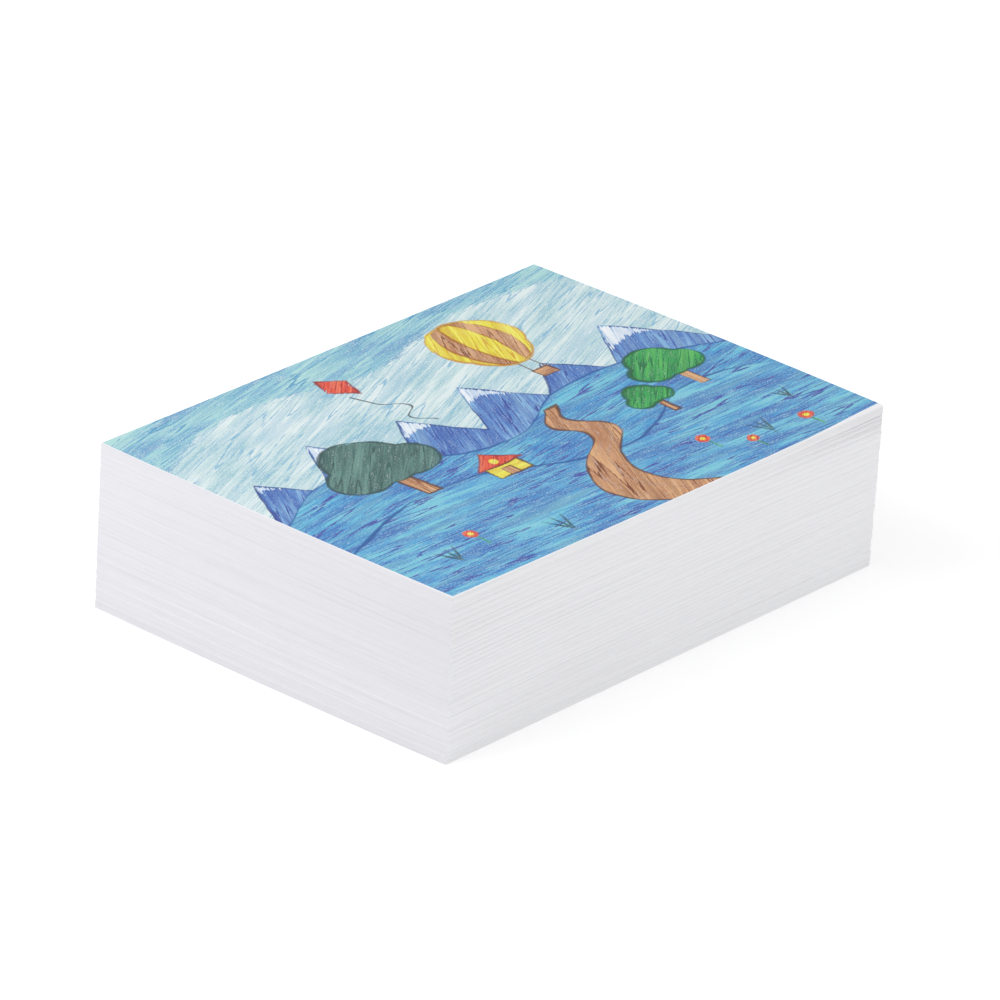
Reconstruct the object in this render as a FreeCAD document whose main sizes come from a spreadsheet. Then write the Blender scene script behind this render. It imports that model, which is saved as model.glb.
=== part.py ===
"""A ream of drawing paper: 500 loose sheets squared up into a block, the top one with a coloured drawing on it.

The sheets are counted off in quires of 25. Each quire has slipped and turned a little against the next, and its
middle sheets stand out past its end ones towards the front, which gives the block the ledges down its sides.
Millimetres. X runs along the sheets' long side, Y along their short side and Z up. The origin is on the ground,
in the middle of the block.
"""

import FreeCAD, Part
import math
import os

QUIRES = 20
SHEETS_PER_QUIRE = 25
SHEETS = QUIRES * SHEETS_PER_QUIRE

# Steps of three spreads that look random: counted in these, whole numbers never fall into a pattern
SLIP_ALONG_STEP = 0.618034
SLIP_ACROSS_STEP = 0.754878
TURN_STEP = 0.569840

SIZES = [
    ("sheet_length", 304.8, "long side of a sheet, 12 inches"),
    ("sheet_width", 228.6, "short side of a sheet, 9 inches"),
    ("caliper", 0.175, "thickness of one sheet of heavy drawing paper"),
    ("lean_along", -1.5, "how far the top of the block has slid along X from its foot"),
    ("lean_across", -2.5, "how far the top of the block has slid along Y from its foot"),
    ("quire_slip_along", 0.20, "most that a quire has slipped along X, either way"),
    ("quire_slip_across", 0.15, "most that a quire has slipped along Y, either way"),
    ("quire_turn", 0.13, "most that a quire has turned on the one below, either way, in degrees"),
    ("quire_bow_along", 0.15, "how far a quire's middle sheets stand out along X past its end ones"),
    ("quire_bow_across", 0.30, "how far a quire's middle sheets stand out along Y past its end ones"),
    ("sheet_slip", 0.06, "most that one sheet has slipped in its quire, either way"),
    ("drawing_turn", 0.20, "turn of the sheet with the drawing on the one below, in degrees"),
]


def make_sizes(doc):
    """The driving dimensions, one to a row: name, value and meaning."""
    sheet = doc.addObject("Spreadsheet::Sheet", "Sizes")
    for row, (alias, value, meaning) in enumerate(SIZES, start=1):
        sheet.set(f"A{row}", alias)
        sheet.set(f"B{row}", str(value))
        sheet.setAlias(f"B{row}", alias)
        sheet.set(f"C{row}", meaning)


def bind(item, formulas):
    """Ties properties of an object to the driving dimensions."""
    for name, formula in formulas.items():
        item.setExpression(name, formula)


def spread(number, step):
    """The share, from -1 to 1, by which the quire or sheet of that number is out of line."""
    return round(2 * ((number * step) % 1.0) - 1, 4)


def bow_share(place):
    """How far out of its quire a sheet stands: 0 at the quire's top and bottom, 1 in its middle."""
    return round(math.sin(math.pi * (place + 0.5) / SHEETS_PER_QUIRE), 4)


def lean_share(sheets_below):
    """Share of the block's lean at a height counted in sheets: -0.5 at its foot and 0.5 at its top."""
    return round(sheets_below / SHEETS - 0.5, 4)


def make_sheet(doc, name, along="0", across="0", up="0"):
    """One cut sheet of paper lying flat, its middle moved from the origin by the formulas given."""
    paper = doc.addObject("Part::Box", name)
    bind(
        paper,
        {
            "Length": "Sizes.sheet_length",
            "Width": "Sizes.sheet_width",
            "Height": "Sizes.caliper",
            "Placement.Base.x": f"-Sizes.sheet_length / 2 + {along}",
            "Placement.Base.y": f"-Sizes.sheet_width / 2 + {across}",
            "Placement.Base.z": up,
        },
    )
    return paper


def make_quire_sheet(doc, quire, place):
    """A plain sheet at its place in a quire, counted from the quire's underside."""
    number = quire * SHEETS_PER_QUIRE + place + 1
    bow = bow_share(place)
    return make_sheet(
        doc,
        f"Sheet{number:03d}",
        along=f"Sizes.sheet_slip * {spread(number, SLIP_ALONG_STEP)} - Sizes.quire_bow_along * {bow}",
        across=f"Sizes.sheet_slip * {spread(number, SLIP_ACROSS_STEP)} - Sizes.quire_bow_across * {bow}",
        up=f"Sizes.caliper * {place}",
    )


def make_quire(doc, quire, sheets):
    """A quire of loose sheets that has slipped and turned as one on the quire below."""
    below = quire * SHEETS_PER_QUIRE
    lean = lean_share(below + SHEETS_PER_QUIRE / 2)
    slip_along = spread(quire + 1, SLIP_ALONG_STEP)
    slip_across = spread(quire + 1, SLIP_ACROSS_STEP)
    bunch = doc.addObject("Part::Compound", f"Quire{quire + 1:02d}")
    bunch.Label = f"quire_{quire + 1:02d}"
    bunch.Links = [make_quire_sheet(doc, quire, place) for place in range(sheets)]
    bind(
        bunch,
        {
            "Placement.Base.x": f"Sizes.lean_along * {lean} + Sizes.quire_slip_along * {slip_along}",
            "Placement.Base.y": f"Sizes.lean_across * {lean} + Sizes.quire_slip_across * {slip_across}",
            "Placement.Base.z": f"Sizes.caliper * {below}",
            "Placement.Rotation.Angle": f"Sizes.quire_turn * {spread(quire + 1, TURN_STEP)}",
        },
    )
    return bunch


def make_drawing_sheet(doc):
    """The last sheet of the ream, which carries the drawing and lies a little askew on top."""
    below = SHEETS - 1
    lean = lean_share(below)
    paper = make_sheet(doc, "DrawingPaper")
    sheet = doc.addObject("Part::Compound", "DrawingSheet")
    sheet.Label = "drawing_sheet"
    sheet.Links = [paper]
    bind(
        sheet,
        {
            "Placement.Base.x": f"Sizes.lean_along * {lean}",
            "Placement.Base.y": f"Sizes.lean_across * {lean}",
            "Placement.Base.z": f"Sizes.caliper * {below}",
            "Placement.Rotation.Angle": "Sizes.drawing_turn",
        },
    )
    return sheet


def check(doc, pieces):
    """Stops before anything is written if an object has failed or a piece isn't sound."""
    failed = [item.Name for item in doc.Objects if {"Invalid", "Error"} & set(item.State)]
    if failed:
        raise RuntimeError(f"these objects failed to recompute: {failed}")
    for piece in pieces:
        if piece.Shape.isNull() or not piece.Shape.isValid():
            raise RuntimeError(f"{piece.Label} has no sound shape")


def build():
    """The whole ream, from the ground up. The drawing's sheet takes the last place in the top quire."""
    doc = FreeCAD.newDocument("Ream")
    make_sizes(doc)
    pieces = [make_quire(doc, quire, SHEETS_PER_QUIRE) for quire in range(QUIRES - 1)]
    pieces.append(make_quire(doc, QUIRES - 1, SHEETS_PER_QUIRE - 1))
    pieces.append(make_drawing_sheet(doc))
    doc.recompute()
    check(doc, pieces)
    return pieces


os.makedirs("parts", exist_ok=True)
for piece in build():
    piece.Shape.exportStep(os.path.join("parts", f"{piece.Label}.step"))
    print(piece.Label, len(piece.Shape.Solids), "sheets,", round(piece.Shape.Volume / 1000, 1), "cm3")
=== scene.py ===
"""The looks of a ream of drawing paper: its loose sheets, and the coloured-pencil drawing on the top one.

Laid out as an add-on and run as a script. Lengths are metres, except in the drawing, which is in millimetres
from the sheet's lower left corner. X runs along the sheets' long side, Y along their short side and Z up.
"""

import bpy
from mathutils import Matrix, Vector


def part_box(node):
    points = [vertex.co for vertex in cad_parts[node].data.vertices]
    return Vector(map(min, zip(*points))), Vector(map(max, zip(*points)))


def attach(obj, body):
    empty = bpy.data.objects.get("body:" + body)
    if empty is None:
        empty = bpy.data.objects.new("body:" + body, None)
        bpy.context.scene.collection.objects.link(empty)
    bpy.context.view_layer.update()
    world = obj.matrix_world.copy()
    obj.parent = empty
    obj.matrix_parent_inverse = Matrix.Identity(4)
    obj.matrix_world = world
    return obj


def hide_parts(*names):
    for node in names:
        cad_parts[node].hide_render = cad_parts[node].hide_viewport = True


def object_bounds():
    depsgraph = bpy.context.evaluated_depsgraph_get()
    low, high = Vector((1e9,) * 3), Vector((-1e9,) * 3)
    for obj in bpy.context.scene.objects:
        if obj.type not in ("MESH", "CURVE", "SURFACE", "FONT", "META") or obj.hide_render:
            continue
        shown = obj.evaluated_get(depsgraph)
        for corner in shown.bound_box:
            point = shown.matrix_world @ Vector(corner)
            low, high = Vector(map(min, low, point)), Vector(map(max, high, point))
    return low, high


bl_info = {
    "name": "Ream of Drawing Paper",
    "version": (1, 0, 0),
    "blender": (4, 5, 0),
    "location": "View3D > Sidebar > Ream",
    "description": "Dresses a ream of loose drawing sheets with a coloured-pencil drawing on the top one",
    "category": "Object",
}

import math
from functools import partial

import bmesh
import bpy
from bpy.props import FloatProperty, FloatVectorProperty, PointerProperty
from mathutils import Matrix, Vector

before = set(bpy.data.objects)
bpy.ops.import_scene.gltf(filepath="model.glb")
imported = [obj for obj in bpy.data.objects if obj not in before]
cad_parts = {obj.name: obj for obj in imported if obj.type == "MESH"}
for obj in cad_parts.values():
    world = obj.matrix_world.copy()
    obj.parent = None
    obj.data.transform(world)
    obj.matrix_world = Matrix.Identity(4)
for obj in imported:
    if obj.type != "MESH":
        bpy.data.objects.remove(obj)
CAD_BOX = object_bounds()

MM = 0.001
QUIRES = sorted(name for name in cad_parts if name.startswith("quire_"))
DRAWING = "drawing_sheet"
SHEETS = 500
SHEETS_PER_QUIRE = SHEETS // len(QUIRES)
PITCH = CAD_BOX[1].z / SHEETS

# Middles of the lowest and the highest quire: from one to the other the block leans
FOOT, TOP = (sum(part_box(name), Vector()) / 2 for name in (QUIRES[0], QUIRES[-1]))

# Sheets in each bunch that was knocked square together, from the ground up: bunches part at the ledges
BUNCHES = (
    (14, 11, 8, 17, 12, 10, 16, 12, 9, 11, 15, 11, 12, 15, 19, 9, 12, 16)
    + (13, 21, 8, 13, 14, 12, 19, 10, 13, 23, 17, 12, 21, 15, 18, 11, 7, 24)
)

# Steps of spreads that look random: counted in these, whole numbers never fall into a pattern
SLIP_ALONG_STEP = 0.618034
SLIP_ACROSS_STEP = 0.754878
SKEW_STEP = 0.569840


def linear(hex_colour):
    """The linear colour, with alpha, of an sRGB hex value such as "f0f0f4"."""
    shares = [int(hex_colour[i : i + 2], 16) / 255 for i in (0, 2, 4)]
    return [s / 12.92 if s <= 0.04045 else ((s + 0.055) / 1.055) ** 2.4 for s in shares] + [1.0]


def length_property(name, default, description):
    """A setting in metres, finely enough to show a tenth of a millimetre."""
    return FloatProperty(name=name, description=description, default=default, unit="LENGTH", precision=5)


def colour_property(name, hex_colour, description):
    """A setting for a colour, written as sRGB hex and kept linear."""
    return FloatVectorProperty(
        name=name, description=description, default=linear(hex_colour), size=4, subtype="COLOR", min=0, max=1
    )


class SheetSettings(bpy.types.PropertyGroup):
    """Size of the sheets, and how they have slipped, turned and bent in the pile."""

    long_side: length_property("Long side", 0.3048, "Long side of a sheet")
    short_side: length_property("Short side", 0.2286, "Short side of a sheet")
    paper: length_property("Paper", 0.163 * MM, "Thickness of the paper without the air between two sheets")
    slip_along: length_property(
        "Slip along", 0.09 * MM, "Most that a bunch of the upper half has slipped sideways"
    )
    slip_across: length_property(
        "Slip across", 0.075 * MM, "Most that a bunch of the upper half has slipped forward"
    )
    bow_along: length_property("Bow along", 0.08 * MM, "How far a bunch's middle sheets stand out leftwards")
    bow_across: length_property("Bow across", 0.28 * MM, "How far a bunch's middle sheets stand out in front")
    sheet_slip: length_property("Sheet slip", 0.015 * MM, "Most that one sheet has slipped in its bunch")
    out_of_square: length_property(
        "Out of square", 0.20 * MM, "Most that the front corners of a bunch of the upper half stand out"
    )
    cut_bow: length_property("Cut bow", 1.4 * MM, "How far the short sides bulge, from the cut of the pile")
    sag: length_property("Sag", 0.5 * MM, "How far the top of the pile sags in its middle")
    droop: length_property("Droop", 2.8 * MM, "How far the corners in front hang, where they hang most")
    corner_gap: length_property("Corner gap", 0.35 * MM, "Gap under the top bunch at the front right corner")
    foot_slip: length_property("Foot slip", 1.7 * MM, "How far the foot of the pile has slipped to the left")
    foot_turn: FloatProperty(
        name="Foot turn",
        description="Turn of the foot of the pile under its top",
        default=math.radians(0.46),
        unit="ROTATION",
        subtype="ANGLE",
    )
    drawing_turn: FloatProperty(
        name="Drawing turn",
        description="Turn of the top sheet on the one below",
        default=math.radians(0.12),
        unit="ROTATION",
        subtype="ANGLE",
    )


class DrawingSettings(bpy.types.PropertyGroup):
    """The paper's colour, and the bare paper left round the drawing."""

    paper: colour_property("Paper", "f4f4f6", "Uncoated white drawing paper")
    margin: length_property("Margin", 0.9 * MM, "Bare paper along the edges in front and at the left")
    wedge: length_property("Wedge", 2.2 * MM, "More bare paper at the lower right corner")


class StudioSettings(bpy.types.PropertyGroup):
    """Light of the studio: its level from all round, and the power of its two soft boxes."""

    sky_level: FloatProperty(name="Sky level", description="Light from all round", default=0.66, min=0)
    key_power: FloatProperty(
        name="Key power", description="Soft box over the left", default=10.6, unit="POWER", min=0
    )
    fill_power: FloatProperty(
        name="Fill power", description="Soft box over the front", default=12.8, unit="POWER", min=0
    )


def add(tree, kind, inputs=None, output=0, **settings):
    """Adds a node with its settings, values and links, and gives back one of its outputs if it has any."""
    node = tree.nodes.new(kind)
    for name, value in settings.items():
        setattr(node, name, value)
    for key, value in (inputs or {}).items():
        if isinstance(value, bpy.types.NodeSocket):
            tree.links.new(value, node.inputs[key])
        else:
            node.inputs[key].default_value = value
    return node.outputs[output] if node.outputs else node


def new_material(name):
    """An empty node material and its tree."""
    material = bpy.data.materials.new(name)
    material.use_nodes = True
    material.node_tree.nodes.clear()
    return material, material.node_tree


def finish_paper(tree, colour, roughness, height, depth):
    """Paper is a matt dielectric: cellulose has an IOR of about 1.5, and its fibres scatter all gloss."""
    relief = add(tree, "ShaderNodeBump", {"Height": height, "Strength": 0.25, "Distance": depth})
    sheen = {"Roughness": roughness, "IOR": 1.5, "Specular IOR Level": 0.35}
    surface = add(tree, "ShaderNodeBsdfPrincipled", {"Base Color": colour, "Normal": relief, **sheen})
    add(tree, "ShaderNodeOutputMaterial", {"Surface": surface})


def grains(tree, place, size, angle=0.0, shift=0.0, detail=2.0, dimensions="3D"):
    """Noise from 0 to 1 whose grains have a size along each axis and lie at an angle in degrees."""
    lie = {"Location": (shift, shift, 0), "Rotation": (0, 0, math.radians(angle)), "Scale": size}
    counted = add(tree, "ShaderNodeMapping", {"Vector": place, **lie}, vector_type="TEXTURE")
    noise = {"Vector": counted, "Scale": 1.0, "Detail": detail, "Roughness": 0.6}
    return add(tree, "ShaderNodeTexNoise", noise, noise_dimensions=dimensions)


def cut_paper_material(colours):
    """Uncoated drawing paper, cut in a pile by a guillotine: matt, with faint streaks of painted shade along
    the sides of the block, where shade falls between sheets whose edges stand apart, some four sheets high
    and up to 5 percent darker. Paper fibres are far too fine to show, so the tooth is drawn as coarse as half
    a millimetre."""
    material, tree = new_material("uncoated_drawing_paper")
    place = add(tree, "ShaderNodeTexCoord", output=3)
    # Painted shade: the sides are up to 5 percent darker in streaks, where shade falls between sheets that
    # stand apart
    gap_shade_noise = grains(tree, place, (110 * MM, 110 * MM, 0.8 * MM))
    painted_gap_shade = add(tree, "ShaderNodeMapRange", {0: gap_shade_noise, 1: 0.34, 2: 0.48, 3: 0.952, 4: 1.0})
    shaded = {0: 1.0, 6: list(colours.paper), 7: painted_gap_shade}
    colour = add(tree, "ShaderNodeMix", shaded, output=2, data_type="RGBA", blend_type="MULTIPLY")
    tooth = grains(tree, place, (0.5 * MM, 0.5 * MM, 0.5 * MM))
    finish_paper(tree, colour, 0.88, tooth, 0.02 * MM)
    return material


# In millimetres: how long the margin's wedge is, and how far the sky goes past the page's upper edge
WEDGE_LENGTH = 60
PAST_EDGE = 20.0


class Page:
    """The face of the drawing sheet, on which fields of coloured pencil are laid one over another. A field is
    given by the distance to its outline, which is less than 0 inside it."""

    def __init__(self, tree, settings, colours):
        self.add = partial(add, tree)
        self.bare = list(colours.paper)
        self.paint = self.bare
        self.length = settings.long_side / MM
        self.width = settings.short_side / MM
        sheet = self.add("ShaderNodeUVMap", uv_map="sheet")
        reach = (self.length, self.width, 0)
        self.place = self.add("ShaderNodeVectorMath", {0: sheet, 1: reach}, operation="MULTIPLY")
        self.grains = partial(grains, tree, self.place, dimensions="2D")
        self.tooth = self.grains((0.9, 0.9, 1))
        self.wobbly = self.wobble(size=34.0, reach=4.2)
        self.x = self.add("ShaderNodeSeparateXYZ", {0: self.wobbly}, output=0)
        self.y = self.add("ShaderNodeSeparateXYZ", {0: self.wobbly}, output=1)
        self.sets_of_strokes = {}

    def wobble(self, size, reach):
        """The place, moved about as an unsteady hand moves a line."""
        noise = {"Vector": self.place, "Scale": 1 / size, "Detail": 2.0}
        shaken = self.add("ShaderNodeTexNoise", noise, output=1, noise_dimensions="2D")
        moved = {0: shaken, 1: (reach, reach, 0), 2: (-reach / 2, -reach / 2, 0)}
        aside = self.add("ShaderNodeVectorMath", moved, operation="MULTIPLY_ADD")
        return self.add("ShaderNodeVectorMath", {0: self.place, 1: aside}, operation="ADD")

    def spot(self, x, y, across, up, tilt):
        """The place, counted from a spot in shares of a shape's half width and half height."""
        lie = {"Location": (x, y, 0), "Rotation": (0, 0, math.radians(tilt)), "Scale": (across, up, 1)}
        return self.add("ShaderNodeMapping", {"Vector": self.wobbly, **lie}, vector_type="TEXTURE")

    def ellipse(self, x, y, across, up, tilt=0.0):
        """An ellipse round a spot, with its half width and half height."""
        place = self.spot(x, y, across, up, tilt)
        share = self.add("ShaderNodeVectorMath", {0: place}, output=1, operation="LENGTH")
        small = min(across, up)
        return self.add("ShaderNodeMath", {0: share, 1: small, 2: -small}, operation="MULTIPLY_ADD")

    def diamond(self, x, y, across, up, tilt=0.0):
        """A diamond round a spot, with its half width and half height."""
        place = self.spot(x, y, across, up, tilt)
        folded = self.add("ShaderNodeVectorMath", {0: place}, operation="ABSOLUTE")
        both = {0: folded, 1: (1, 1, 0)}
        share = self.add("ShaderNodeVectorMath", both, output=1, operation="DOT_PRODUCT")
        small = 0.7 * min(across, up)
        return self.add("ShaderNodeMath", {0: share, 1: small, 2: -small}, operation="MULTIPLY_ADD")

    def band(self, middle, half, low, high):
        """An upright band round a middle, which may bend, with its half width and its ends."""
        aside = self.add("ShaderNodeMath", {0: self.x, 1: middle}, operation="SUBTRACT")
        aside = self.add("ShaderNodeMath", {0: aside}, operation="ABSOLUTE")
        aside = self.add("ShaderNodeMath", {0: aside, 1: half}, operation="SUBTRACT")
        over = self.add("ShaderNodeMath", {0: self.y, 1: high}, operation="SUBTRACT")
        under = self.add("ShaderNodeMath", {0: low, 1: self.y}, operation="SUBTRACT")
        return self.within(aside, over, under)

    def curve(self, points, here, reach, rise, pointed=False):
        """Height of a curve through points, each a place along its reach and a height, at the place here."""
        share = self.add("ShaderNodeMath", {0: here, 1: reach}, operation="DIVIDE")
        height = self.add("ShaderNodeFloatCurve", {"Value": share})
        mapping = height.node.mapping
        knots = mapping.curves[0].points
        places = [(at / reach, up / rise) for at, up in points]
        for knot, place in zip(knots, (places[0], places[-1])):
            knot.location = place
        for place in places[1:-1]:
            knots.new(*place)
        for knot in knots:
            knot.handle_type = "VECTOR" if pointed else "AUTO"
        mapping.update()
        return self.add("ShaderNodeMath", {0: height, 1: rise}, operation="MULTIPLY")

    def below(self, points, pointed=False):
        """All that lies below a rolling or a pointed line across the page."""
        height = self.curve(points, self.x, self.length, self.width, pointed)
        return self.add("ShaderNodeMath", {0: self.y, 1: height}, operation="SUBTRACT")

    def outside(self, distance):
        """All that a field leaves free."""
        return self.add("ShaderNodeMath", {0: distance, 1: -1.0}, operation="MULTIPLY")

    def shrunk(self, distance, by):
        """A field without a rim so wide in millimetres."""
        return self.add("ShaderNodeMath", {0: distance, 1: by}, operation="ADD")

    def together(self, *distances):
        """One field out of several."""
        found = distances[0]
        for other in distances[1:]:
            found = self.add("ShaderNodeMath", {0: found, 1: other}, operation="MINIMUM")
        return found

    def within(self, *distances):
        """The field that several share."""
        found = distances[0]
        for other in distances[1:]:
            found = self.add("ShaderNodeMath", {0: found, 1: other}, operation="MAXIMUM")
        return found

    def blend(self, *parts):
        """Sum of values, each with its weight."""
        (total, weight), *others = parts
        total = self.add("ShaderNodeMath", {0: total, 1: weight}, operation="MULTIPLY")
        for value, weight in others:
            total = self.add("ShaderNodeMath", {0: value, 1: weight, 2: total}, operation="MULTIPLY_ADD")
        return total

    def glaze(self, under, value, none, full, over, most=1.0):
        """Lays a colour over another: none of it where a value is at none, the most where it is at full."""
        rise = {0: value, 1: none, 2: full, 3: 0.0, 4: most}
        share = self.add("ShaderNodeMapRange", rise, interpolation_type="SMOOTHSTEP")
        return self.add("ShaderNodeMix", {0: share, 6: under, 7: over}, output=2, data_type="RGBA")

    def strokes(self, angle):
        """Pencil strokes at an angle: fine ones, broad ones, the patches that they make, and lone ones."""
        if angle not in self.sets_of_strokes:
            self.sets_of_strokes[angle] = (
                self.grains((11.0, 0.9, 1), angle),
                self.grains((42.0, 2.3, 1), angle + 1.5, shift=411.0),
                self.grains((58.0, 15.0, 1), angle - 3, shift=823.0, detail=1.0),
                self.grains((75.0, 5.0, 1), angle + 2, shift=137.0, detail=0.0),
            )
        return self.sets_of_strokes[angle]

    def lay(self, distance, pencils, angle, pressure=0.85, ragged=0.7, outline=None, line_width=1.1):
        """Fills a field with strokes of a main, a dark, a light and a hard pencil, and draws round it."""
        main, dark, light, hard = (linear(pencil) for pencil in pencils)
        fine, broad, patch, lone = self.strokes(angle)
        # Noise keeps near 0.5: the dark and the light pencil take over a little to either side of it
        tone = self.blend((patch, 0.34), (broad, 0.36), (fine, 0.3))
        pigment = self.glaze(main, tone, 0.5, 0.41, dark)
        pigment = self.glaze(pigment, tone, 0.505, 0.585, light)
        pigment = self.glaze(pigment, lone, 0.54, 0.72, hard, most=0.4)
        aside = self.add("ShaderNodeMath", {0: lone, 1: 0.5}, operation="SUBTRACT")
        aside = self.add("ShaderNodeMath", {0: aside}, operation="ABSOLUTE")
        pigment = self.glaze(pigment, self.blend((aside, 1.0), (fine, -0.14)), -0.034, -0.064, hard)

        # The pencil skips the hollows of the paper, more of them the lighter it is pressed
        grain = self.blend((self.tooth, 0.5), (fine, 0.5))
        bald = 0.64 - 0.28 * pressure
        faint = [0.24 * a + 0.76 * b for a, b in zip(self.bare, light)]
        field = self.glaze(faint, grain, bald - 0.13, bald + 0.13, pigment)
        # Strokes end unevenly: noise moves the edge about, and adds 3 times ragged to it on average
        edge = self.blend((distance, 1.0), (fine, 6 * ragged))
        self.paint = self.glaze(self.paint, edge, 3 * ragged + 0.5, 3 * ragged - 0.5, field)
        if outline:
            # The line is worn: the tooth and the patches add 2.0 on average
            rim = self.add("ShaderNodeMath", {0: distance}, operation="ABSOLUTE")
            worn = self.blend((rim, 1.0), (self.tooth, 1.6), (patch, 2.4))
            none, full = 2.0 + line_width, 2.0 + 0.2 * line_width
            self.paint = self.glaze(self.paint, worn, none, full, linear(outline), most=0.85)

    def leave_margin(self, margin, wedge):
        """Leaves the paper bare along its edges in front and at the left, most at the lower right corner."""
        x = self.add("ShaderNodeSeparateXYZ", {0: self.place}, output=0)
        y = self.add("ShaderNodeSeparateXYZ", {0: self.place}, output=1)
        widening = {0: x, 1: self.length - WEDGE_LENGTH, 2: self.length, 3: margin, 4: margin + wedge}
        rise = self.add("ShaderNodeMapRange", widening, interpolation_type="SMOOTHSTEP")
        low = self.add("ShaderNodeMath", {0: y, 1: rise}, operation="SUBTRACT")
        left = self.add("ShaderNodeMath", {0: x, 1: margin}, operation="SUBTRACT")
        self.paint = self.glaze(self.paint, self.together(low, left), 0.15, -0.15, self.bare)


# Pencils
BARK = "5b3a26"
INK = "33424e"

# Sets of pencils, each a main, a dark, a light and a hard-pressed one
SKY = ("c4dfe1", "9ac7d2", "e3f0ef", "8abcd6")
HIGH_SKY = ("8cc4d6", "6f9fca", "b2dedb", "5a9fc4")
RIDGE = ("5f8cca", "466db5", "86b4dc", "3f549f")
SNOW = ("e4eef6", "c3d8ec", "f2f7fa", "a9c5e2")
FAR_HILL = ("4a9bd0", "3f76be", "71c4da", "4a55a5")
NEAR_HILL = ("55a3d4", "467abe", "7ccadb", "4b55a5")
SHRUB = ("537a74", "40625f", "6b938a", "3a5a58")
LEAF = ("37a556", "26824a", "5cba5e", "1f6f42")
GRASS = ("24525c", "1d444e", "39707a", INK)
EARTH = ("cb9870", "b47d58", "e0b080", "7d4a30")
RUT = (BARK, "8a5a3c", "b98660", BARK)
YELLOW = ("ebe146", "d9bf3c", "f3ec70", "d8a83a")
RED = ("e0503c", "c43a34", "ec7a5c", "b22e30")

# Angles of the strokes, in degrees from the sheet's long side
SKY_ANGLE = 21
HIGH_SKY_ANGLE = 12
FAR_HILL_ANGLE = 7
NEAR_HILL_ANGLE = -3
SLANT = 40
STEEP = 60
UPRIGHT = 84


def draw_sky(page):
    """A pale sky that darkens towards the top."""
    everywhere = page.below([(0, page.width), (page.length, page.width)])
    page.lay(page.shrunk(everywhere, -PAST_EDGE), SKY, SKY_ANGLE, pressure=0.8)
    high_sky = page.below([(0, 182), (70, 208), (150, 196), (236, 216), (page.length, 208)])
    page.lay(page.outside(high_sky), HIGH_SKY, HIGH_SKY_ANGLE, pressure=0.8, ragged=2.6)


def draw_hills(page):
    """Two blue hills in front of a ridge with snow on its peaks."""
    peaks = [(0, 112), (20, 146), (42, 116), (70, 160), (98, 116), (122, 150), (146, 112)]
    peaks += [(170, 156), (196, 118), (220, 148), (244, 116), (272, 158), (page.length, 112)]
    ridge = page.below(peaks, pointed=True)
    page.lay(ridge, RIDGE, STEEP, pressure=0.95, outline="2f4a8a")
    snow_line = [(at, 0.3 * up + 100 - 4 * (peak % 3)) for peak, (at, up) in enumerate(peaks)]
    snow = page.within(page.shrunk(ridge, 1.5), page.outside(page.below(snow_line, pointed=True)))
    page.lay(snow, SNOW, STEEP, ragged=1.6)
    far_hill = page.below([(0, 104), (58, 126), (142, 98), (214, 122), (page.length, 102)])
    page.lay(far_hill, FAR_HILL, FAR_HILL_ANGLE, outline="2d5c9e")
    near_hill = page.below([(0, 62), (92, 84), (178, 56), (262, 82), (page.length, 70)])
    page.lay(near_hill, NEAR_HILL, NEAR_HILL_ANGLE, outline="2a5596")


def draw_road(page):
    """A road that narrows as it climbs the hills, with ruts drawn along it."""
    bends = [(0, 172), (24, 152), (50, 160), (76, 186), (96, 176), (110, 186), (page.width, 186)]
    middle = page.curve(bends, page.y, page.width, page.length)
    half = page.add("ShaderNodeMath", {0: page.y, 1: -0.13, 2: 18.5}, operation="MULTIPLY_ADD")
    page.lay(page.band(middle, half, -5.0, 109.0), EARTH, STEEP, pressure=0.95, outline=BARK, line_width=1.3)
    ruts = [page.band(page.blend((half, share), (middle, 1.0)), 0.35, 4.0, 96.0) for share in (-0.45, 0.3)]
    page.lay(page.together(*ruts), RUT, STEEP, pressure=0.45)


def draw_tree(page, x, foot, crown, size, leaves, outline):
    """A round tree: three lobes of leaves on a straight trunk."""
    trunk = page.band(x, 0.15 * size, foot, crown)
    page.lay(trunk, EARTH, UPRIGHT, ragged=0.3, outline=BARK, line_width=0.9)
    lobes = page.together(
        page.ellipse(x, crown + 0.15 * size, 0.8 * size, 0.8 * size),
        page.ellipse(x - 0.55 * size, crown - 0.2 * size, 0.58 * size, 0.5 * size),
        page.ellipse(x + 0.55 * size, crown - 0.15 * size, 0.6 * size, 0.52 * size),
    )
    page.lay(lobes, leaves, SLANT, pressure=0.95, outline=outline)


def draw_house(page, x, y, size):
    """A house with a door in its middle and a round window under its pointed roof."""
    eaves = y + size
    page.lay(page.band(x, size, y, eaves), YELLOW, NEAR_HILL_ANGLE, ragged=0.3, outline=BARK, line_width=0.8)
    door = page.band(x, 0.28 * size, y, y + 0.7 * size)
    page.lay(door, EARTH, UPRIGHT, ragged=0.2, outline=BARK, line_width=0.7)
    gable = page.diamond(x, eaves, 1.35 * size, 1.3 * size)
    roof = page.within(gable, page.band(x, 2 * size, eaves, eaves + 2 * size))
    page.lay(roof, RED, SLANT, pressure=1.0, ragged=0.3, outline="8c2a2c")
    window = page.ellipse(x, eaves + 0.42 * size, 0.24 * size, 0.24 * size)
    page.lay(window, YELLOW, SLANT, pressure=1.0, ragged=0.1)


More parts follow.
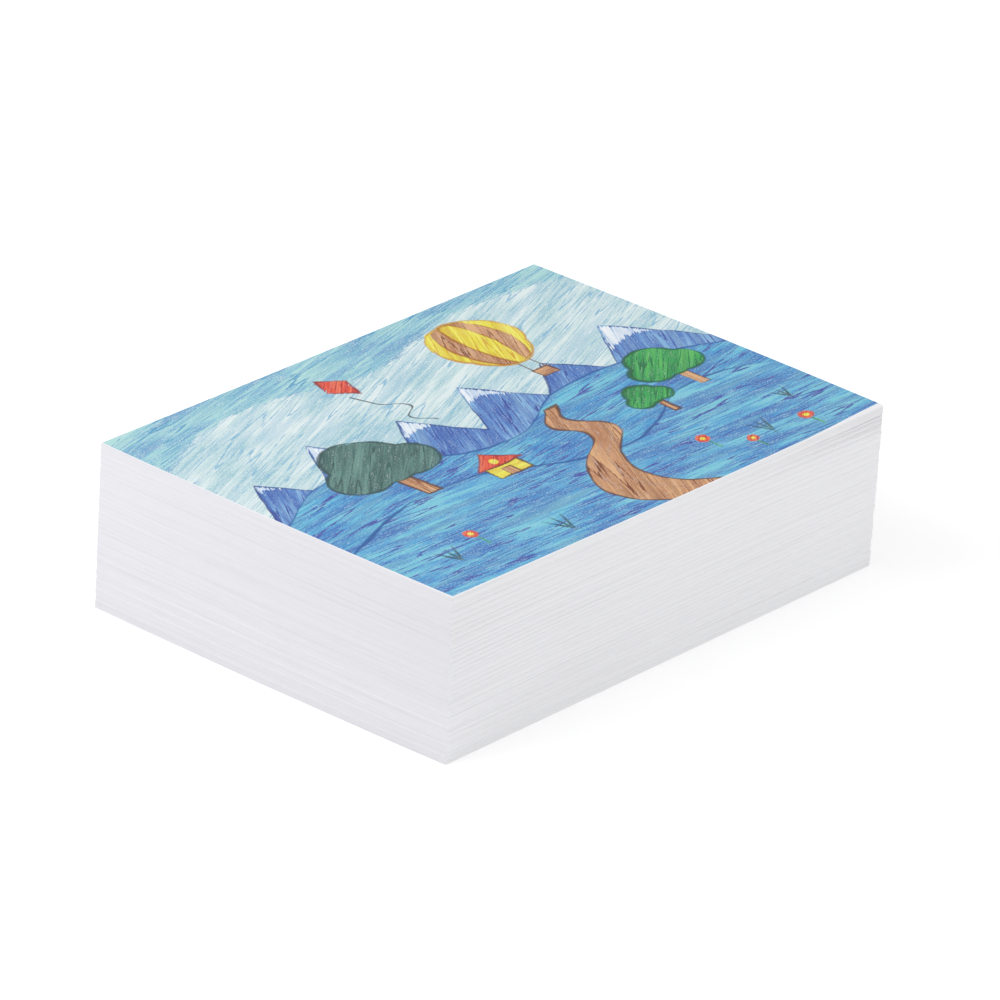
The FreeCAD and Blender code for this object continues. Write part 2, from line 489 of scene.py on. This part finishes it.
def draw_meadow(page):
    """Tufts of grass of three blades each, and round flowers on thin stalks, on the hill in front."""
    blades = []
    for x, y, size in ((34, 30, 6), (96, 18, 7), (246, 24, 7), (280, 42, 5)):
        blades += [page.ellipse(x + 0.4 * lean * size, y, 0.7, size, -24 * lean) for lean in (-1, 0, 1)]
    page.lay(page.together(*blades), GRASS, UPRIGHT, ragged=0.2)
    flowers = ((56, 40, 4.0), (214, 36, 4.0), (232, 19, 3.4), (270, 20, 4.0))
    stalks = [page.band(x, 0.5, y - 3.2 * size, y) for x, y, size in flowers]
    page.lay(page.together(*stalks), LEAF, UPRIGHT, ragged=0.2)
    petals = [page.ellipse(x, y, size, size) for x, y, size in flowers]
    page.lay(page.together(*petals), RED, SLANT, pressure=1.0, ragged=0.3)
    eyes = [page.ellipse(x, y, 0.4 * size, 0.4 * size) for x, y, size in flowers]
    page.lay(page.together(*eyes), YELLOW, SLANT, pressure=1.0, ragged=0.1)


def draw_balloon(page, x, y, size):
    """A round balloon with two stripes, and a basket on two ropes."""
    ropes = [page.band(x + side * 0.17 * size, 0.4, y - 1.65 * size, y - 1.1 * size) for side in (-1, 1)]
    page.lay(page.together(*ropes), (BARK, BARK, BARK, BARK), UPRIGHT, ragged=0.1)
    basket = page.band(x, 0.2 * size, y - 2.0 * size, y - 1.65 * size)
    page.lay(basket, EARTH, FAR_HILL_ANGLE, ragged=0.2, outline=BARK, line_width=0.8)
    crown = page.ellipse(x, y, size, size)
    mouth = page.ellipse(x, y - 0.45 * size, 0.8 * size, 0.8 * size)
    skin = page.together(crown, mouth)
    page.lay(skin, YELLOW, STEEP, pressure=1.0, outline="c98f2e")
    outer, inner = (page.ellipse(x, y - 0.12 * size, share * size, 1.2 * size) for share in (0.68, 0.3))
    stripes = page.within(outer, page.outside(inner), page.shrunk(skin, 1.0))
    page.lay(stripes, EARTH, STEEP, ragged=0.3, outline="a8642f", line_width=0.7)


def draw_kite(page, x, y, size, tilt):
    """A diamond kite with a squiggly tail."""
    swings = [(0, x), (y - 58, x + 10), (y - 48, x + 2), (y - 38, x + 12), (y - 26, x + 1), (page.width, x)]
    tail = page.band(page.curve(swings, page.y, page.width, page.length), 0.5, y - 58, y - size)
    page.lay(tail, (INK, INK, INK, INK), UPRIGHT, ragged=0.1)
    skin = page.diamond(x, y, 0.72 * size, size, tilt)
    page.lay(skin, RED, SLANT, pressure=1.0, outline="8c2a2c", line_width=0.9)


def drawing_material(settings, colours):
    """Drawing paper covered with coloured pencil: wax and pigment rubbed over the paper's tooth in strokes,
    so that specks of paper show through, under a dull sheen of wax. The strokes are drawn about twice as
    coarse as a pencil's, so that they show."""
    material, tree = new_material("coloured_pencil_on_paper")
    page = Page(tree, settings, colours)
    draw_sky(page)
    draw_hills(page)
    draw_road(page)
    draw_tree(page, 78, 84, 122, 30, SHRUB, "2f4a48")
    draw_tree(page, 262, 78, 106, 20, LEAF, "1f5a35")
    draw_tree(page, 229, 66, 86, 13, LEAF, "1f5a35")
    draw_house(page, 122, 72, 11)
    draw_meadow(page)
    draw_balloon(page, 216, 186, 25)
    draw_kite(page, 128, 196, 12, 14)
    page.leave_margin(colours.margin / MM, colours.wedge / MM)
    finish_paper(tree, page.paint, 0.7, page.tooth, 0.03 * MM)
    return material


def spread(number, step):
    """A share from -1 to 1 that differs for each number without a pattern that shows."""
    return 2 * ((number * step) % 1.0) - 1


def bunch_of(number):
    """The bunch that a sheet is in, and its place there from 0 at the bunch's foot to 1 at its top."""
    below = 0
    for bunch, sheets in enumerate(BUNCHES):
        if number < below + sheets:
            return bunch, (number - below + 0.5) / sheets
        below += sheets
    raise ValueError(f"the ream has no sheet {number}")


def smooth(value, low, high):
    """Goes smoothly from 0 at low to 1 at high."""
    share = min(max((value - low) / (high - low), 0.0), 1.0)
    return share * share * (3 - 2 * share)


def sink(settings, number, along, across):
    """How far a spot of a sheet lies below its flat place: along and across run from -0.5 to 0.5 over it.
    Of the corners in front, the right one hangs most at four fifths of the pile's height and not at the top,
    and the left one hangs less, most a little under half the height."""
    height = number / (SHEETS - 1)
    sag = settings.sag * height**2 * (1 - (2 * along) ** 2)
    front = 0.5 - across
    fanned = 1.0 if number < SHEETS - BUNCHES[-1] else 1 - settings.corner_gap / settings.droop
    right = smooth(along, 0.12, 0.56) * (fanned * smooth(height, 0.0, 0.8) - smooth(height, 0.86, 1.0))
    left = 0.6 * smooth(-along, 0.3, 0.54) * smooth(height, 0.0, 0.4) * (1 - smooth(height, 0.5, 1.0))
    return sag + settings.droop * front * (right + left)


def sheet_spot(settings, number, along, across):
    """Where a spot of a sheet lies: along and across run from -0.5 to 0.5 over the sheet."""
    height = number / (SHEETS - 1)
    bunch, place = bunch_of(number)
    stand_out = math.sin(math.pi * place)
    # The lower third of the pile is looser than its upper half
    loose = 1.6 - 0.6 * smooth(height, 0.3, 0.5)
    x = settings.long_side * along
    y = settings.short_side * across
    x += settings.cut_bow * 2 * along * (1 - (2 * across) ** 2)
    x += settings.slip_along * loose * spread(bunch + 1, SLIP_ALONG_STEP) - settings.bow_along * stand_out
    y += settings.slip_across * loose * spread(bunch + 1, SLIP_ACROSS_STEP) - settings.bow_across * stand_out
    y += settings.out_of_square * loose * 2 * along * (0.5 - across) * spread(bunch + 1, SKEW_STEP)
    x += settings.sheet_slip * spread(number + 1, SLIP_ALONG_STEP)
    y += settings.sheet_slip * spread(number + 1, SLIP_ACROSS_STEP)
    turn = settings.drawing_turn if number == SHEETS - 1 else settings.foot_turn * (1 - height)
    spot = Matrix.Rotation(turn, 3, "Z") @ Vector((x, y, 0))
    middle = FOOT.lerp(TOP, height) - Vector((settings.foot_slip * (1 - height), 0, 0))
    z = PITCH * number - sink(settings, number, along, across)
    return Vector((middle.x + spot.x, middle.y + spot.y, z))


def add_sheet(mesh, settings, number, cells_along, cells_across):
    """Adds a closed sheet, with finer cells near its ends, where it bends, and gives back its upper faces."""
    made = bmesh.ops.create_grid(
        mesh, x_segments=cells_along, y_segments=cells_across, size=0.5, calc_uvs=True
    )
    corners = made["verts"]
    for corner in corners:
        along = 0.5 * math.sin(math.pi * corner.co.x)
        across = 0.5 * math.sin(math.pi * corner.co.y)
        corner.co = sheet_spot(settings, number, along, across)
    faces = list({face for corner in corners for face in corner.link_faces})
    raised = bmesh.ops.extrude_face_region(mesh, geom=faces)["geom"]
    lifted = [item for item in raised if isinstance(item, bmesh.types.BMVert)]
    bmesh.ops.translate(mesh, verts=lifted, vec=(0, 0, settings.paper))
    return [item for item in raised if isinstance(item, bmesh.types.BMFace)]


def keep(mesh, name, node, materials):
    """Turns a bmesh into a piece of the ream that stands for a node of the frame."""
    data = bpy.data.meshes.new(name)
    mesh.to_mesh(data)
    mesh.free()
    for material in materials:
        data.materials.append(material)
    piece = bpy.data.objects.new(name, data)
    bpy.context.collection.objects.link(piece)
    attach(piece, "root")
    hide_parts(node)


class REAM_OT_add_quires(bpy.types.Operator):
    """Add the quires of plain sheets"""

    bl_idname = "ream.add_quires"
    bl_label = "Add Quires"

    def execute(self, context):
        settings = context.scene.ream_sheets
        paper = cut_paper_material(context.scene.ream_drawing)
        for quire, node in enumerate(QUIRES):
            mesh = bmesh.new()
            first = quire * SHEETS_PER_QUIRE
            for number in range(first, min(first + SHEETS_PER_QUIRE, SHEETS - 1)):
                add_sheet(mesh, settings, number, cells_along=6, cells_across=4)
            keep(mesh, f"loose_sheets_{quire + 1:02d}", node, [paper])
        return {"FINISHED"}


class REAM_OT_add_drawing_sheet(bpy.types.Operator):
    """Add the top sheet with its coloured-pencil drawing"""

    bl_idname = "ream.add_drawing_sheet"
    bl_label = "Add Drawing Sheet"

    def execute(self, context):
        settings = context.scene.ream_sheets
        colours = context.scene.ream_drawing
        mesh = bmesh.new()
        mesh.loops.layers.uv.new("sheet")
        drawn = add_sheet(mesh, settings, SHEETS - 1, cells_along=24, cells_across=18)
        # The map is stretched as the cells are, which are finer near the ends
        page = mesh.loops.layers.uv["sheet"]
        for corner in (corner for face in mesh.faces for corner in face.loops):
            corner[page].uv = [0.5 - 0.5 * math.cos(math.pi * share) for share in corner[page].uv]
        for face in drawn:
            face.material_index = 1
        materials = [bpy.data.materials["uncoated_drawing_paper"], drawing_material(settings, colours)]
        keep(mesh, "sheet_with_drawing", DRAWING, materials)
        return {"FINISHED"}


# The camera of the photograph: where it stands round the block's foot, and how its picture is framed
CAMERA_AZIMUTH = math.radians(-48.11)
CAMERA_ELEVATION = math.radians(25.53)
CAMERA_ROLL = math.radians(2.12)
CAMERA_DISTANCE = 4.337
CAMERA_RIGHT = 0.0046
CAMERA_UP = 0.0415
CAMERA_LENS_MM = 323.0
CAMERA_SENSOR_MM = 36.0

# The soft boxes: their width, and where they stand and face
SOFT_BOX_SIZE = 1.2
KEY_PLACE = (-1.0, 0.7, 1.0)
KEY_TINT = (1.0, 0.98, 1.05)
FILL_PLACE = (0.5, -2.0, 0.7)
REAM_MIDDLE = (CAD_BOX[0] + CAD_BOX[1]) / 2

# The floor: half its width, the colour that light bounces off, and how much brighter the camera sees it
WHITE = (1.0, 1.0, 1.0, 1.0)
FLOOR_HALF_SIZE = 6.0
FLOOR_COLOUR = "d6d6d7"
FLOOR_LIFT = 0.22


def soft_box(name, power, place, tint=(1.0, 1.0, 1.0)):
    """A square area light that faces the ream and that the camera doesn't see."""
    data = bpy.data.lights.new(name, "AREA")
    data.energy = power
    data.color = tint
    data.size = SOFT_BOX_SIZE
    lamp = bpy.data.objects.new(name, data)
    lamp.location = place
    lamp.rotation_euler = (REAM_MIDDLE - Vector(place)).to_track_quat("-Z", "Y").to_euler()
    lamp.visible_camera = False
    bpy.context.collection.objects.link(lamp)


def looked_at(tree):
    """1 where the camera looks, straight or by way of metal or glass, and 0 where light bounces."""
    straight = add(tree, "ShaderNodeLightPath")
    by_metal = straight.node.outputs["Is Glossy Ray"]
    through_glass = straight.node.outputs["Is Transmission Ray"]
    looks = add(tree, "ShaderNodeMath", {0: straight, 1: by_metal}, operation="ADD")
    return add(tree, "ShaderNodeMath", {0: looks, 1: through_glass}, operation="ADD", use_clamp=True)


def white_floor():
    """A matt pale floor, which the camera sees a little brighter: white, but for the ream's shadow."""
    material, tree = new_material("matt_white_backdrop")
    seen = looked_at(tree)
    tones = {0: seen, 6: linear(FLOOR_COLOUR), 7: WHITE}
    colour = add(tree, "ShaderNodeMix", tones, output=2, data_type="RGBA")
    matt = add(tree, "ShaderNodeBsdfDiffuse", {"Color": colour})
    lift = add(tree, "ShaderNodeMath", {0: seen, 1: FLOOR_LIFT}, operation="MULTIPLY")
    glow = add(tree, "ShaderNodeEmission", {"Color": WHITE, "Strength": lift})
    surface = add(tree, "ShaderNodeAddShader", {0: matt, 1: glow})
    add(tree, "ShaderNodeOutputMaterial", {"Surface": surface})
    mesh = bmesh.new()
    bmesh.ops.create_grid(mesh, x_segments=1, y_segments=1, size=FLOOR_HALF_SIZE)
    data = bpy.data.meshes.new("floor")
    mesh.to_mesh(data)
    mesh.free()
    data.materials.append(material)
    floor = bpy.data.objects.new("floor", data)
    bpy.context.collection.objects.link(floor)


def white_world(level):
    """Even light from all round, which the camera sees as plain white."""
    world = bpy.data.worlds.new("studio")
    world.use_nodes = True
    tree = world.node_tree
    tree.nodes.clear()
    strength = add(tree, "ShaderNodeMapRange", {0: looked_at(tree), 1: 0.0, 2: 1.0, 3: level, 4: 1.0})
    background = add(tree, "ShaderNodeBackground", {"Color": WHITE, "Strength": strength})
    add(tree, "ShaderNodeOutputWorld", {"Surface": background})
    bpy.context.scene.world = world


def photo_camera():
    """The camera at the photograph's angle."""
    back = Vector(
        (
            math.sin(CAMERA_AZIMUTH) * math.cos(CAMERA_ELEVATION),
            -math.cos(CAMERA_AZIMUTH) * math.cos(CAMERA_ELEVATION),
            math.sin(CAMERA_ELEVATION),
        )
    )
    right = Vector((0, 0, 1)).cross(back).normalized()
    up = back.cross(right)
    place = Vector((FOOT.x, FOOT.y, 0)) + back * CAMERA_DISTANCE + right * CAMERA_RIGHT + up * CAMERA_UP
    turned = Matrix((right, up, back)).transposed() @ Matrix.Rotation(CAMERA_ROLL, 3, "Z")
    data = bpy.data.cameras.new("photo_camera")
    data.sensor_width = CAMERA_SENSOR_MM
    data.lens = CAMERA_LENS_MM
    camera = bpy.data.objects.new("photo_camera", data)
    camera.matrix_world = Matrix.Translation(place) @ turned.to_4x4()
    bpy.context.collection.objects.link(camera)
    bpy.context.scene.camera = camera


class REAM_OT_add_studio(bpy.types.Operator):
    """Add the floor, the lights and the camera"""

    bl_idname = "ream.add_studio"
    bl_label = "Add Studio"

    def execute(self, context):
        settings = context.scene.ream_studio
        white_floor()
        white_world(settings.sky_level)
        soft_box("key_light", settings.key_power, KEY_PLACE, KEY_TINT)
        soft_box("fill_light", settings.fill_power, FILL_PLACE)
        photo_camera()
        context.scene.view_settings.view_transform = "Standard"
        return {"FINISHED"}


class VIEW3D_PT_ream(bpy.types.Panel):
    bl_label = "Ream"
    bl_space_type = "VIEW_3D"
    bl_region_type = "UI"
    bl_category = "Ream"

    def draw(self, context):
        column = self.layout.column(align=True)
        for operator in (REAM_OT_add_quires, REAM_OT_add_drawing_sheet, REAM_OT_add_studio):
            column.operator(operator.bl_idname)
        for settings in (context.scene.ream_sheets, context.scene.ream_drawing, context.scene.ream_studio):
            box = self.layout.box()
            for name in settings.__annotations__:
                box.prop(settings, name)


CLASSES = (
    SheetSettings,
    DrawingSettings,
    StudioSettings,
    REAM_OT_add_quires,
    REAM_OT_add_drawing_sheet,
    REAM_OT_add_studio,
    VIEW3D_PT_ream,
)


def register():
    for cls in CLASSES:
        bpy.utils.register_class(cls)
    bpy.types.Scene.ream_sheets = PointerProperty(type=SheetSettings)
    bpy.types.Scene.ream_drawing = PointerProperty(type=DrawingSettings)
    bpy.types.Scene.ream_studio = PointerProperty(type=StudioSettings)


def unregister():
    del bpy.types.Scene.ream_studio
    del bpy.types.Scene.ream_drawing
    del bpy.types.Scene.ream_sheets
    for cls in reversed(CLASSES):
        bpy.utils.unregister_class(cls)


def main():
    register()
    bpy.ops.ream.add_quires()
    bpy.ops.ream.add_drawing_sheet()
    bpy.ops.ream.add_studio()
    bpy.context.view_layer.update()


if __name__ == "__main__":
    main()
